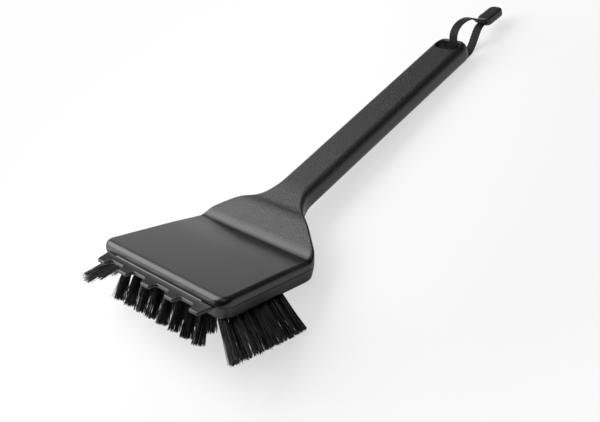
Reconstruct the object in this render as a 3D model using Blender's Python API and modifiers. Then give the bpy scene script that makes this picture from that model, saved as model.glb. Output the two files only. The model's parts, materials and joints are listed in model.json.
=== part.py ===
"""Grill brush: moulded head and handle, tufted block, notched scraper and hang strap.

The brush is modelled with the flat top of its head level, and is then tipped back until it stands on
its rearmost side bristles and on the strap under the end of its handle. Metres, +Z up, +Y to the handle.
"""
import math

import bmesh
import bpy
from mathutils import Matrix, Vector

# Fits between neighbouring pieces
GAP = 0.0003

# Head, seen from above: X across, Y back from the front wall, Z up from the flat top
FRONT_HALF = 0.0798
SIDE_TAPER = 0.091
FRONT_CORNER_R = 0.010
REAR_CORNER_R = 0.018
FLARE_ANGLE = math.radians(58)
NECK_R = 0.026
NECK_END_Y = 0.1500
EDGE_R = 0.0053
SMALLEST_R = 0.0015
SPLIT_Z = -0.0074

# Shoulder: the top dips slightly, rises, eases into a saddle and climbs to meet the handle
DIP_START_Y = 0.0600
DIP_FULL_Y = 0.0820
RISE_START_Y = 0.0950
RISE_FULL_Y = 0.1030
RISE_END_Y = 0.1170
SADDLE_Y = 0.1270
CLIMB_START_Y = 0.1340
CLIMB_END_Y = 0.1420
DIP_ANGLE = math.radians(-2.5)
RISE_ANGLE = math.radians(44)
SADDLE_ANGLE = math.radians(11)
NARROWING_Y = 0.120
UNDERSIDE_BLEND = 0.012

# Handle: its centre line leaves this point and climbs at a fixed pitch
HANDLE_Y = 0.1403
HANDLE_Z = 0.0211
HANDLE_PITCH = math.radians(25.1)
HANDLE_HALF = 0.0184
HANDLE_THICK = 0.0184
HANDLE_LENGTH = 0.2437
HANDLE_EDGE_R = 0.0066
HANDLE_END_R = 0.0125
HANDLE_STRAIGHT_S = 0.05

# Hollow inside the head and handle, and the slot for the strap
WALL = 0.003
HOLLOW_END = 0.212
SLOT_ACROSS = 0.0258
SLOT_ALONG = 0.0126
SLOT_TO_END = 0.0128
SLOT_RIM_R = 0.0018

# Block that carries the bristles
BLOCK_REAR_Y = 0.112
BLOCK_BOTTOM_Z = -0.0185
BLOCK_REAR_R = 0.008
BLOCK_EDGE_R = 0.003
BLOCK_DRAFT = 0.0012

# Scraper plate
SCRAPER_REACH = 0.0128
SCRAPER_HALF = 0.0680
SCRAPER_TIP_HALF = 0.0655
SCRAPER_THICK = 0.003
SCRAPER_DROOP = math.radians(8)
TONGUE_HALF = 0.056
TONGUE_DEPTH = 0.009
NOTCH_COUNT = 4
NOTCH_PITCH = 0.0302
NOTCH_MOUTH = 0.0212
NOTCH_DEPTH = 0.0062
NOTCH_TOP = 0.012
LOBE_CORNER = 0.0012

# Bristle tufts
TUFT_SIDES = 8
PLUG_R = 0.0037
PLUG_DEPTH = 0.0038
STRAND_R = 0.0006
STRAND_RINGS = ((1, 0.0), (4, 0.0014), (7, 0.0028))
STRAND_SPREAD = 1.35
STRAND_ROOT = 0.0008
STRAND_TURN = math.radians(13)
FRONT_COUNT = 8
FRONT_ROW_INSET = 0.0301
FRONT_ROW_Y = 0.0066
FRONT_LENGTH = 0.0277
FRONT_LEAN = math.radians(20)
FRONT_FAN = math.radians(6)
INNER_COUNT = 7
INNER_ROW_Y = 0.0195
INNER_LEAN = math.radians(6)
SIDE_COUNT = 7
SIDE_FIRST_Y = 0.0072
SIDE_PITCH = 0.0097
SIDE_INSET = 0.0093
SIDE_LENGTH = 0.038
SIDE_LEAN = math.radians(52.5)
SIDE_FORWARD = 0.012
FOOT_CUT = 0.0005
FRONT_PITCH = 2 * (FRONT_HALF - FRONT_ROW_INSET) / (FRONT_COUNT - 1)

# Screws that hold the block to the head
SCREW_XS = (-0.038, 0.0, 0.038)
SCREW_YS = (0.041, 0.085)
SCREW_HEAD_R = 0.0036
SCREW_HEAD_H = 0.0024
SCREW_SHANK_R = 0.0018
SCREW_TIP_Z = -0.0040
SCREW_HEAD_Z = -0.0160
BOSS_R = 0.0042
SCREW_STEPS = 12

# Hang strap: a flat band that is looped round the end of the handle
STRAP_X = 0.0070
STRAP_WIDTH = 0.0092
STRAP_THICK = 0.0012
STRAP_PLAY = 0.0005
STRAP_ARC = (148, 283)
CLIP_LENGTH = 0.026
CLIP_WIDTH = 0.0148
CLIP_THICK = 0.0078
CLIP_CORNER_R = 0.0050
CLIP_EDGE_R = 0.0018
CLIP_ALONG = 0.0500
CLIP_ABOVE = 0.0052
CLIP_PITCH = math.radians(-4)
STRAP_TAIL = 0.008
STRAP_STRAIGHT = 0.003

# Free runs of the strap, along the handle and above it, in multiples of its radius round the end wall
STRAP_FRONT = ((2.76, 1.25), (2.21, 1.73), (1.57, 2.08), (0.76, 2.27),
               (0.04, 2.19), (-0.51, 1.85), (-0.74, 1.34))
STRAP_BACK = ((0.74, -0.96), (1.34, -0.66), (2.00, -0.11), (2.62, 0.39))

PLASTIC = (0.030, 0.031, 0.032)
NYLON = (0.006, 0.006, 0.007)
WEBBING = (0.022, 0.022, 0.023)
ZINC = (0.55, 0.56, 0.58)


def fresh_scene():
    for thing in list(bpy.data.objects):
        bpy.data.objects.remove(thing, do_unlink=True)


def new_collection(name):
    group = bpy.data.collections.new(name)
    bpy.context.scene.collection.children.link(group)
    return group


def plain_material(name, colour, roughness, metallic=0.0):
    material = bpy.data.materials.new(name)
    material.use_nodes = True
    shader = material.node_tree.nodes["Principled BSDF"]
    shader.inputs["Base Color"].default_value = (*colour, 1.0)
    shader.inputs["Roughness"].default_value = roughness
    shader.inputs["Metallic"].default_value = metallic
    return material


def add_object(name, data, group, parent):
    thing = bpy.data.objects.new(name, data)
    group.objects.link(thing)
    thing.parent = parent
    return thing


def mesh_object(name, bm, group, parent, smooth_angle=40):
    bmesh.ops.recalc_face_normals(bm, faces=bm.faces)
    mesh = bpy.data.meshes.new(name)
    bm.to_mesh(mesh)
    bm.free()
    mesh.shade_smooth()
    mesh.set_sharp_from_angle(angle=math.radians(smooth_angle))
    return add_object(name, mesh, group, parent)


def as_cutter(thing):
    thing.hide_render = True
    thing.display_type = 'WIRE'
    return thing


def boolean(thing, other, operation):
    step = thing.modifiers.new(f"{operation.lower()}_{other.name}", 'BOOLEAN')
    step.operation = operation
    step.object = other
    step.solver = 'EXACT'


def settled_mesh(thing):
    """Mesh of an object as its modifiers or its curve make it, welded."""
    bpy.context.view_layer.update()
    graph = bpy.context.evaluated_depsgraph_get()
    mesh = bpy.data.meshes.new_from_object(thing.evaluated_get(graph))
    bm = bmesh.new()
    bm.from_mesh(mesh)
    bmesh.ops.remove_doubles(bm, verts=bm.verts, dist=0.00001)
    bmesh.ops.recalc_face_normals(bm, faces=bm.faces)
    bm.to_mesh(mesh)
    bm.free()
    return mesh


def outline_slab(name, points, half_depth, group, parent):
    """Flat outline, filled and given thickness, as a welded mesh."""
    curve = bpy.data.curves.new(name, 'CURVE')
    curve.dimensions = '2D'
    curve.fill_mode = 'BOTH'
    curve.extrude = half_depth
    line = curve.splines.new('POLY')
    line.points.add(len(points) - 1)
    for spot, (x, y) in zip(line.points, points):
        spot.co = (x, y, 0.0, 1.0)
    line.use_cyclic_u = True
    sketch = add_object(name + "_sketch", curve, group, parent)
    slab = add_object(name, settled_mesh(sketch), group, parent)
    bpy.data.objects.remove(sketch, do_unlink=True)
    return slab


def rounded_rim(thing, radius, segments, keep):
    """Rounds the sharp edges of a mesh that the keep test picks."""
    bm = bmesh.new()
    bm.from_mesh(thing.data)
    rim = [edge for edge in bm.edges
           if edge.calc_face_angle(0.0) > math.radians(30) and all(keep(v.co) for v in edge.verts)]
    bmesh.ops.bevel(bm, geom=rim, offset=radius, segments=segments, profile=0.5, affect='EDGES')
    bm.to_mesh(thing.data)
    bm.free()


def arc(centre, radius, start, end, steps):
    for step in range(steps + 1):
        angle = math.radians(start + (end - start) * step / steps)
        yield (centre[0] + radius * math.cos(angle), centre[1] + radius * math.sin(angle))


def smooth_step(value):
    value = min(1.0, max(0.0, value))
    return value * value * (3.0 - 2.0 * value)


# Shape of the head and handle

END_WALL = SLOT_TO_END - SLOT_ALONG / 2
FLARE_SLOPE = math.tan(FLARE_ANGLE)
SIDE_ROOT = math.hypot(1.0, SIDE_TAPER)
FLARE_ROOT = math.hypot(1.0, FLARE_SLOPE)
FLARE_X = HANDLE_HALF + NECK_R * (1.0 - math.cos(FLARE_ANGLE))
FLARE_Y = NECK_END_Y - NECK_R * math.sin(FLARE_ANGLE)
FRONT_CORNER_X = FRONT_HALF - FRONT_CORNER_R * (SIDE_ROOT + SIDE_TAPER)
FRONT_CORNER_END = FRONT_CORNER_R * (1.0 + SIDE_TAPER / SIDE_ROOT)
REAR_CORNER_Y = ((FLARE_X + FLARE_SLOPE * FLARE_Y - FRONT_HALF
                  - REAR_CORNER_R * (FLARE_ROOT - SIDE_ROOT)) / (FLARE_SLOPE - SIDE_TAPER))
REAR_CORNER_X = FRONT_HALF - REAR_CORNER_R * SIDE_ROOT - SIDE_TAPER * REAR_CORNER_Y
REAR_CORNER_START = REAR_CORNER_Y + REAR_CORNER_R * SIDE_TAPER / SIDE_ROOT
REAR_CORNER_END = REAR_CORNER_Y + REAR_CORNER_R * FLARE_SLOPE / FLARE_ROOT


def half_width(y):
    """Half the width of the head, shoulder or neck at a depth from the front wall."""
    if y < FRONT_CORNER_END:
        return FRONT_CORNER_X + math.sqrt(max(0.0, FRONT_CORNER_R ** 2 - (y - FRONT_CORNER_R) ** 2))
    if y < REAR_CORNER_START:
        return FRONT_HALF - SIDE_TAPER * y
    if y < REAR_CORNER_END:
        return REAR_CORNER_X + math.sqrt(REAR_CORNER_R ** 2 - (y - REAR_CORNER_Y) ** 2)
    if y < FLARE_Y:
        return FLARE_X + FLARE_SLOPE * (FLARE_Y - y)
    if y < NECK_END_Y:
        return HANDLE_HALF + NECK_R - math.sqrt(NECK_R ** 2 - (NECK_END_Y - y) ** 2)
    return HANDLE_HALF


def handle_plane(y, above):
    """Height, at a depth y, of a plane along the handle at a distance above its centre line."""
    return HANDLE_Z + (y - HANDLE_Y) * math.tan(HANDLE_PITCH) + above / math.cos(HANDLE_PITCH)


def profile_z(y, slopes):
    """Height at y of a profile whose slope runs evenly from each (depth, slope) pair to the next."""
    z = 0.0
    for (start, slope), (end, end_slope) in zip(slopes, slopes[1:]):
        run = min(max(y - start, 0.0), end - start)
        z += run * (slope + (end_slope - slope) * run / (end - start) / 2)
    return z


def shoulder_slopes():
    """Slopes of the shoulder's top; its climb is as steep as it needs to be to meet the handle."""
    slopes = [(DIP_START_Y, 0.0), (DIP_FULL_Y, math.tan(DIP_ANGLE)), (RISE_START_Y, 0.0),
              (RISE_FULL_Y, math.tan(RISE_ANGLE)), (RISE_END_Y, math.tan(RISE_ANGLE)),
              (SADDLE_Y, math.tan(SADDLE_ANGLE)), (CLIMB_START_Y, 0.0), (CLIMB_END_Y, 0.0),
              (NECK_END_Y, math.tan(HANDLE_PITCH))]
    short = handle_plane(NECK_END_Y, HANDLE_THICK / 2) - profile_z(NECK_END_Y, slopes)
    climb = short / ((CLIMB_END_Y - CLIMB_START_Y + NECK_END_Y - SADDLE_Y) / 2)
    slopes[6:8] = [(CLIMB_START_Y, climb), (CLIMB_END_Y, climb)]
    return slopes


SHOULDER = shoulder_slopes()


def top_z(y):
    if y < EDGE_R:
        return math.sqrt(max(0.0, EDGE_R ** 2 - (EDGE_R - y) ** 2)) - EDGE_R
    return profile_z(y, SHOULDER)


def low_z(y):
    """Underside: level over the block, then up to the handle's underside."""
    rise = max(0.0, handle_plane(y, -HANDLE_THICK / 2) - SPLIT_Z)
    return SPLIT_Z + rise * smooth_step((y - BLOCK_REAR_Y) / UNDERSIDE_BLEND)


def along(s, n):
    """Y and Z of a point on the handle, s along its centre line and n above it."""
    cos, sin = math.cos(HANDLE_PITCH), math.sin(HANDLE_PITCH)
    return HANDLE_Y + s * cos - n * sin, HANDLE_Z + s * sin + n * cos


def section(place, half, low, high, wide, deep, low_r):
    """Closed ring round a box with rounded corners; place puts (x, height) in space."""
    wide, deep = min(wide, half * 0.8), min(deep, (high - low) * 0.8)
    low_r = min(low_r, (high - low) - deep - 0.0001)
    right = [(half - low_r + low_r * math.sin(a), low + low_r - low_r * math.cos(a))
             for a in (0.0, math.pi / 4, math.pi / 2)]
    right += [(half - wide * (1.0 - x), high - deep * (1.0 - z)) for x, z in arc((0.0, 0.0), 1.0, 0, 90, 6)]
    right.append(((half - wide) / 2, high))
    left = [(-x, v) for x, v in reversed(right)]
    return [Vector(place(x, v)) for x, v in right + [(0.0, high)] + left + [(0.0, low)]]


def loft(name, rings, group, parent):
    bm = bmesh.new()
    rows = [[bm.verts.new(point) for point in ring] for ring in rings]
    count = len(rows[0])
    for row, following in zip(rows, rows[1:]):
        for i in range(count):
            j = (i + 1) % count
            bm.faces.new((row[i], row[j], following[j], following[i]))
    bm.faces.new(rows[0])
    bm.faces.new(rows[-1])
    return mesh_object(name, bm, group, parent)


def head_ring(y, wall=0.0):
    """Ring round the head or neck, or round its hollow where a wall is given."""
    fade = smooth_step((y - NARROWING_Y) / (NECK_END_Y - NARROWING_Y))
    edge = max(EDGE_R + (HANDLE_EDGE_R - EDGE_R) * fade - wall, SMALLEST_R)
    low = low_z(y)
    low_r = max(GAP, HANDLE_EDGE_R * fade)
    if wall:
        low = low + wall if y > BLOCK_REAR_Y + wall else SPLIT_Z - wall
        low_r = 0.0005
    return section(lambda x, v: (x, y, v), half_width(y) - wall, low, top_z(y) - wall, edge, edge, low_r)


def handle_ring(s, wall=0.0):
    """Ring square to the handle, drawn in towards its rounded end."""
    to_end = HANDLE_LENGTH - s
    half, rise = HANDLE_HALF, HANDLE_THICK / 2
    if to_end < HANDLE_END_R:
        half -= HANDLE_END_R - math.sqrt(HANDLE_END_R ** 2 - (HANDLE_END_R - to_end) ** 2)
    if to_end < HANDLE_EDGE_R:
        rise -= HANDLE_EDGE_R - math.sqrt(HANDLE_EDGE_R ** 2 - (HANDLE_EDGE_R - to_end) ** 2)
    radius = max(HANDLE_EDGE_R - wall, SMALLEST_R)
    return section(lambda x, v: (x, *along(s, v)), half - wall, wall - rise, rise - wall,
                   radius, radius, radius)


def between(start, end, steps):
    return [start + (end - start) * i / steps for i in range(steps + 1)]


def head_depths(start):
    """Depths of the rings on the head, closer where its outline or its top bends."""
    front = [EDGE_R * (1.0 - math.cos(math.radians(a))) for a in (0, 22, 42, 62, 90)]
    front += [FRONT_CORNER_R * 0.75, FRONT_CORNER_END]
    top = [DIP_START_Y, DIP_FULL_Y] + between(RISE_START_Y, RISE_FULL_Y, 4)
    top += between(RISE_END_Y, SADDLE_Y, 4) + [CLIMB_START_Y, CLIMB_END_Y]
    rear = between(REAR_CORNER_START, REAR_CORNER_END, 3)
    neck = [NECK_END_Y - NECK_R * math.sin(FLARE_ANGLE * (6 - i) / 6) for i in range(7)]
    depths = sorted(front + top + rear + neck + between(BLOCK_REAR_Y, BLOCK_REAR_Y + UNDERSIDE_BLEND, 3))
    tidy = []
    for depth in depths:
        if depth >= start and (not tidy or depth - tidy[-1] > 0.0003):
            tidy.append(depth)
    return tidy


def handle_stations():
    angles = (0, 22, 42, 60, 76, 90)
    bend = [HANDLE_LENGTH - HANDLE_END_R * (1.0 - math.sin(math.radians(a))) for a in angles]
    slot = HANDLE_LENGTH - SLOT_TO_END
    return [HANDLE_STRAIGHT_S, slot - SLOT_ALONG] + bend


def make_shell(parts, cutters, parent):
    rings = [head_ring(y) for y in head_depths(0.0)] + [handle_ring(s) for s in handle_stations()]
    shell = loft("head_and_handle", rings, parts, parent)
    hollow_depths = [WALL] + head_depths(WALL + EDGE_R / 4)
    hollow_depths += [BLOCK_REAR_Y + WALL - GAP, BLOCK_REAR_Y + WALL + GAP]
    rings = [head_ring(y, WALL) for y in sorted(hollow_depths)]
    rings += [handle_ring(s, WALL) for s in (HANDLE_STRAIGHT_S, HOLLOW_END)]
    boolean(shell, as_cutter(loft("hollow", rings, cutters, parent)), 'DIFFERENCE')
    boolean(shell, screw_columns("screw_bosses", BOSS_R, SPLIT_Z, -WALL / 2, cutters, parent), 'UNION')
    boolean(shell, screw_columns("pilot_holes", SCREW_SHANK_R + GAP, SPLIT_Z - WALL,
                                 SCREW_TIP_Z + GAP, cutters, parent), 'DIFFERENCE')
    boolean(shell, slot_cutter(cutters, parent), 'DIFFERENCE')
    return shell


def screw_columns(name, radius, low, high, group, parent):
    """Upright cylinders at all the screws' places, as one cutting or joining tool."""
    bm = bmesh.new()
    for x in SCREW_XS:
        for y in SCREW_YS:
            place = Matrix.Translation((x, y, (low + high) / 2))
            bmesh.ops.create_cone(bm, cap_ends=True, segments=SCREW_STEPS, radius1=radius, radius2=radius,
                                  depth=high - low, matrix=place)
    return as_cutter(mesh_object(name, bm, group, parent))


def oblong(across, wide, steps=6):
    """Outline with round ends, longer along X."""
    reach = (across - wide) / 2
    yield from arc((reach, 0.0), wide / 2, -90, 90, steps)
    yield from arc((-reach, 0.0), wide / 2, 90, 270, steps)


def slot_cutter(group, parent):
    """Slot across the handle, flared at both mouths like a rounded rim."""
    middle = HANDLE_LENGTH - SLOT_TO_END
    face = HANDLE_THICK / 2
    levels = []
    for angle in (90, 60, 30, 0):
        grow = SLOT_RIM_R * (1.0 - math.cos(math.radians(angle)))
        levels.append((face - SLOT_RIM_R + SLOT_RIM_R * math.sin(math.radians(angle)), grow))
    levels.insert(0, (face + SLOT_RIM_R, SLOT_RIM_R + GAP))
    rings = []
    for n, grow in levels + [(-n, grow) for n, grow in reversed(levels)]:
        shape = oblong(SLOT_ACROSS + 2 * grow, SLOT_ALONG + 2 * grow)
        rings.append([Vector((x, *along(middle + s, n))) for x, s in shape])
    return as_cutter(loft("strap_slot", rings, group, parent))


# Bristle block

def block_outline():
    """Outline of the block from above: the head's own outline, cut off square at the back."""
    corner_y = BLOCK_REAR_Y - BLOCK_REAR_R * (1.0 - math.sin(FLARE_ANGLE))
    rear_x = half_width(corner_y) - BLOCK_REAR_R * math.cos(FLARE_ANGLE)
    right = [(FRONT_CORNER_X + FRONT_CORNER_R * math.sin(math.radians(a)),
              FRONT_CORNER_R * (1.0 - math.cos(math.radians(a)))) for a in (0, 18, 36, 54, 72, 90)]
    right += [(half_width(y), y) for y in between(REAR_CORNER_START, REAR_CORNER_END, 4)]
    right += list(arc((rear_x, BLOCK_REAR_Y - BLOCK_REAR_R), BLOCK_REAR_R, math.degrees(FLARE_ANGLE), 90, 2))
    return right + [(-x, y) for x, y in reversed(right)]


def make_block(tufts, parts, cutters, parent):
    top, bottom = SPLIT_Z - GAP, BLOCK_BOTTOM_Z
    block = outline_slab("brush_block", block_outline(), (top - bottom) / 2, parts, parent)
    block.location.z = (top + bottom) / 2
    rounded_rim(block, BLOCK_EDGE_R, 3, lambda co: co.z < 0)
    middle_y = BLOCK_REAR_Y / 2
    for vertex in block.data.vertices:
        if vertex.co.z < 0:
            vertex.co.x *= 1.0 - BLOCK_DRAFT / FRONT_HALF
            vertex.co.y = middle_y + (vertex.co.y - middle_y) * (1.0 - BLOCK_DRAFT / middle_y)
    block.data.shade_smooth()
    block.data.set_sharp_from_angle(angle=math.radians(35))
    boolean(block, tuft_sockets(tufts, cutters, parent), 'DIFFERENCE')
    boolean(block, tongue_recess(cutters, parent), 'DIFFERENCE')
    boolean(block, screw_columns("screw_holes", SCREW_SHANK_R + GAP, bottom - WALL, top + WALL,
                                 cutters, parent), 'DIFFERENCE')
    boolean(block, screw_columns("screw_head_holes", SCREW_HEAD_R + GAP, bottom - WALL,
                                 SCREW_HEAD_Z + SCREW_HEAD_H + GAP, cutters, parent), 'DIFFERENCE')
    return block


def tongue_recess(group, parent):
    """Seat for the scraper's tongue in the top of the block."""
    top = SPLIT_Z - GAP
    floor = top - SCRAPER_THICK - GAP
    bm = bmesh.new()
    bmesh.ops.create_cube(bm, size=1.0)
    depth = TONGUE_DEPTH + GAP + WALL
    bmesh.ops.scale(bm, verts=bm.verts, vec=(2 * (TONGUE_HALF + GAP), depth, 2 * (top - floor)))
    centre = (0.0, TONGUE_DEPTH + GAP - depth / 2, top)
    bmesh.ops.translate(bm, verts=bm.verts, vec=centre)
    return as_cutter(mesh_object("tongue_recess", bm, group, parent))


# Scraper

def scraper_outline():
    """Plate with a tongue behind, and arched notches between the lobes in front."""
    right = [(TONGUE_HALF, TONGUE_DEPTH), (TONGUE_HALF, -GAP), (SCRAPER_HALF, -GAP),
             (SCRAPER_TIP_HALF + LOBE_CORNER / 3, LOBE_CORNER - SCRAPER_REACH),
             (SCRAPER_TIP_HALF - LOBE_CORNER, -SCRAPER_REACH)]
    left = [(-x, y) for x, y in reversed(right)]
    middle = []
    for i in range(NOTCH_COUNT):
        centre = NOTCH_PITCH * ((NOTCH_COUNT - 1) / 2 - i)
        middle += [(centre + x, y) for x, y in notch_points()]
    return right + middle + left


def notch_points():
    """One notch from its right lobe to its left one: short flanks under a flat arch."""
    mouth, top = NOTCH_MOUTH / 2, NOTCH_TOP / 2
    half = [(mouth, -SCRAPER_REACH), (mouth - LOBE_CORNER, LOBE_CORNER - SCRAPER_REACH)]
    shoulder = NOTCH_DEPTH * 0.62
    half.append((mouth - 1.6 * LOBE_CORNER, shoulder - SCRAPER_REACH))
    for share in (0.35, 0.7, 1.0):
        angle = share * math.pi / 2
        half.append((top + (mouth - 1.6 * LOBE_CORNER - top) * math.cos(angle),
                     shoulder + (NOTCH_DEPTH - shoulder) * math.sin(angle) - SCRAPER_REACH))
    return half + [(-x, y) for x, y in reversed(half)]


def make_scraper(parts, parent):
    plate = outline_slab("scraper", scraper_outline(), SCRAPER_THICK / 2, parts, parent)
    plate.location.z = SPLIT_Z - GAP - SCRAPER_THICK / 2
    for vertex in plate.data.vertices:
        if vertex.co.y < -GAP:
            vertex.co.z += (vertex.co.y + GAP) * math.tan(SCRAPER_DROOP)
    return plate


# Bristles

def tuft_frames():
    """Name, root and direction of each tuft, in rows under the block."""
    frames = []
    for i in range(FRONT_COUNT):
        place = i - (FRONT_COUNT - 1) / 2
        fan = FRONT_FAN * place / ((FRONT_COUNT - 1) / 2)
        root = Vector((place * FRONT_PITCH, FRONT_ROW_Y, BLOCK_BOTTOM_Z))
        way = Vector((math.tan(fan), -math.tan(FRONT_LEAN), -1.0)).normalized()
        frames.append((f"front_tuft_{i + 1}", root, way, FRONT_LENGTH))
    for i in range(INNER_COUNT):
        place = i - (INNER_COUNT - 1) / 2
        root = Vector((place * FRONT_PITCH, INNER_ROW_Y, BLOCK_BOTTOM_Z))
        way = Vector((0.0, -math.tan(INNER_LEAN), -1.0)).normalized()
        frames.append((f"inner_tuft_{i + 1}", root, way, FRONT_LENGTH * math.cos(FRONT_LEAN)))
    for side, name in ((-1, "left"), (1, "right")):
        for i in range(SIDE_COUNT):
            y = SIDE_FIRST_Y + i * SIDE_PITCH
            root = Vector((side * (half_width(y + SIDE_PITCH) - SIDE_INSET), y, BLOCK_BOTTOM_Z))
            forward = SIDE_FORWARD * (1.0 - i / (SIDE_COUNT - 1)) / SIDE_LENGTH
            way = Vector((side * math.sin(SIDE_LEAN), -forward, -math.cos(SIDE_LEAN))).normalized()
            frames.append((f"{name}_tuft_{i + 1}", root, way, SIDE_LENGTH))
    return frames


def recess_depth(way):
    """How far inside its hole a tuft's plug ends, so that no edge of it stands out of the block."""
    return PLUG_R * math.tan(math.acos(-way.z)) + GAP


def facing(root, way):
    return Matrix.Translation(root) @ way.to_track_quat('Z', 'Y').to_matrix().to_4x4()


def tuft_sockets(frames, group, parent):
    bm = bmesh.new()
    for _, root, way, _ in frames:
        deep = recess_depth(way) + PLUG_DEPTH + GAP
        proud = recess_depth(way) + PLUG_R
        middle = Matrix.Translation((0.0, 0.0, (proud - deep) / 2))
        bmesh.ops.create_cone(bm, cap_ends=True, segments=TUFT_SIDES, radius1=PLUG_R + GAP,
                              radius2=PLUG_R + GAP, depth=deep + proud, matrix=facing(root, way) @ middle)
    return as_cutter(mesh_object("tuft_sockets", bm, group, parent))


def strand(bm, start, end):
    """Straight bristle of three sides between two points."""
    way = end - start
    place = Matrix.Translation((start + end) / 2) @ way.to_track_quat('Z', 'Y').to_matrix().to_4x4()
    bmesh.ops.create_cone(bm, cap_ends=True, segments=3, radius1=STRAND_R, radius2=STRAND_R,
                          depth=way.length, matrix=place)


def tuft_mesh(recess, length, group):
    """Plug of the block's plastic with its bristles, joined as one body; bristles point along +Z."""
    bm = bmesh.new()
    middle = Matrix.Translation((0.0, 0.0, -recess - PLUG_DEPTH / 2))
    bmesh.ops.create_cone(bm, cap_ends=True, segments=TUFT_SIDES, radius1=PLUG_R, radius2=PLUG_R,
                          depth=PLUG_DEPTH, matrix=middle)
    plug = mesh_object("plug", bm, group, None)
    bm = bmesh.new()
    for count, radius in STRAND_RINGS:
        for i in range(count):
            angle = STRAND_TURN * (1 + count) + 2 * math.pi * i / count
            spot = Vector((radius * math.cos(angle), radius * math.sin(angle), 0.0))
            root = spot + Vector((0.0, 0.0, -recess - STRAND_ROOT))
            tip = spot * STRAND_SPREAD + Vector((0.0, 0.0, length))
            strand(bm, root, tip)
    bmesh.ops.rotate(bm, verts=bm.verts, matrix=Matrix.Rotation(STRAND_TURN, 3, 'Z'))
    strands = mesh_object("strands", bm, group, None)
    boolean(plug, strands, 'UNION')
    mesh = settled_mesh(plug)
    for thing in (plug, strands):
        bpy.data.objects.remove(thing, do_unlink=True)
    return mesh


def make_tufts(frames, parts, parent):
    meshes = {}
    tufts = []
    for name, root, way, length in frames:
        key = (round(recess_depth(way), 4), length)
        if key not in meshes:
            meshes[key] = tuft_mesh(recess_depth(way), length, parts)
        tuft = add_object(name, meshes[key], parts, parent)
        tuft.matrix_local = facing(root, way)
        tufts.append(tuft)
    return tufts


# Screws

def make_screws(parts, parent):
    """Pan-head screws from below, turned from one profile."""
    head, shank = SCREW_HEAD_R, SCREW_SHANK_R
    head_top = SCREW_HEAD_Z + SCREW_HEAD_H
    tip = SCREW_TIP_Z
    profile = [(0.0, tip), (shank * 0.5, tip - shank * 0.5), (shank, tip - shank * 1.5),
               (shank, head_top), (head, head_top), (head, SCREW_HEAD_Z + head * 0.3),
               (head * 0.8, SCREW_HEAD_Z), (0.0, SCREW_HEAD_Z)]
    mesh = bpy.data.meshes.new("screw_profile")
    mesh.from_pydata([(r, 0.0, z) for r, z in profile], [(i, i + 1) for i in range(len(profile) - 1)], [])
    screws = []
    for y in SCREW_YS:
        for x in SCREW_XS:
            screw = add_object(f"block_screw_{len(screws) + 1}", mesh, parts, parent)
            screw.location = (x, y, 0.0)
            turn = screw.modifiers.new("turn", 'SCREW')
            turn.steps = turn.render_steps = SCREW_STEPS
            turn.use_merge_vertices = True
            turn.merge_threshold = 0.00001
            screws.append(screw)
    return screws


# Hang strap

def clip_point(a, b):
    """Point on the clip, a along its length from its middle and b above it, in the pivot's frame."""
    cos, sin = math.cos(CLIP_PITCH), math.sin(CLIP_PITCH)
    return CLIP_ALONG + a * cos - b * sin, CLIP_ABOVE + a * sin + b * cos


def strap_route():
    """Middle line of the strap from one end in the clip, round the handle's end wall, to the other."""
    lift = (STRAP_THICK + GAP) / 2
    depths = (STRAP_TAIL, -CLIP_LENGTH / 2, -CLIP_LENGTH / 2 - STRAP_STRAIGHT)
    upper = [clip_point(depth, lift) for depth in depths]
    lower = [clip_point(depth, -lift) for depth in reversed(depths)]
    ring = math.hypot(END_WALL / 2, HANDLE_THICK / 2) + STRAP_PLAY + STRAP_THICK / 2
    front = [(ring * a, ring * b) for a, b in STRAP_FRONT]
    back = [(ring * a, ring * b) for a, b in STRAP_BACK]
    return upper + front + list(arc((0.0, 0.0), ring, *STRAP_ARC, 9)) + back + lower


def rounded_line(points, rounds):
    """Softer line, each corner cut off at a quarter of its sides."""
    for _ in range(rounds):
        cut = [points[0]]
        for (ax, ay), (bx, by) in zip(points, points[1:]):
            cut.append((0.75 * ax + 0.25 * bx, 0.75 * ay + 0.25 * by))
            cut.append((0.25 * ax + 0.75 * bx, 0.25 * ay + 0.75 * by))
        points = cut + [points[-1]]
    return points


def band_outline(line, thick):
    """Both faces of a band that follows a line."""
    outer, inner = [], []
    for i, spot in enumerate(line):
        before, after = Vector(line[max(0, i - 1)]), Vector(line[min(len(line) - 1, i + 1)])
        way = (after - before).normalized()
        side = Vector((-way.y, way.x)) * thick / 2
        outer.append(tuple(Vector(spot) + side))
        inner.append(tuple(Vector(spot) - side))
    return outer + inner[::-1]


def make_strap(parts, pivot):
    line = rounded_line(strap_route(), 2)
    strap = outline_slab("hang_strap", band_outline(line, STRAP_THICK), STRAP_WIDTH / 2, parts, pivot)
    strap.location.z = STRAP_X
    strap.data.shade_smooth()
    strap.data.set_sharp_from_angle(angle=math.radians(40))
    return strap


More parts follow.
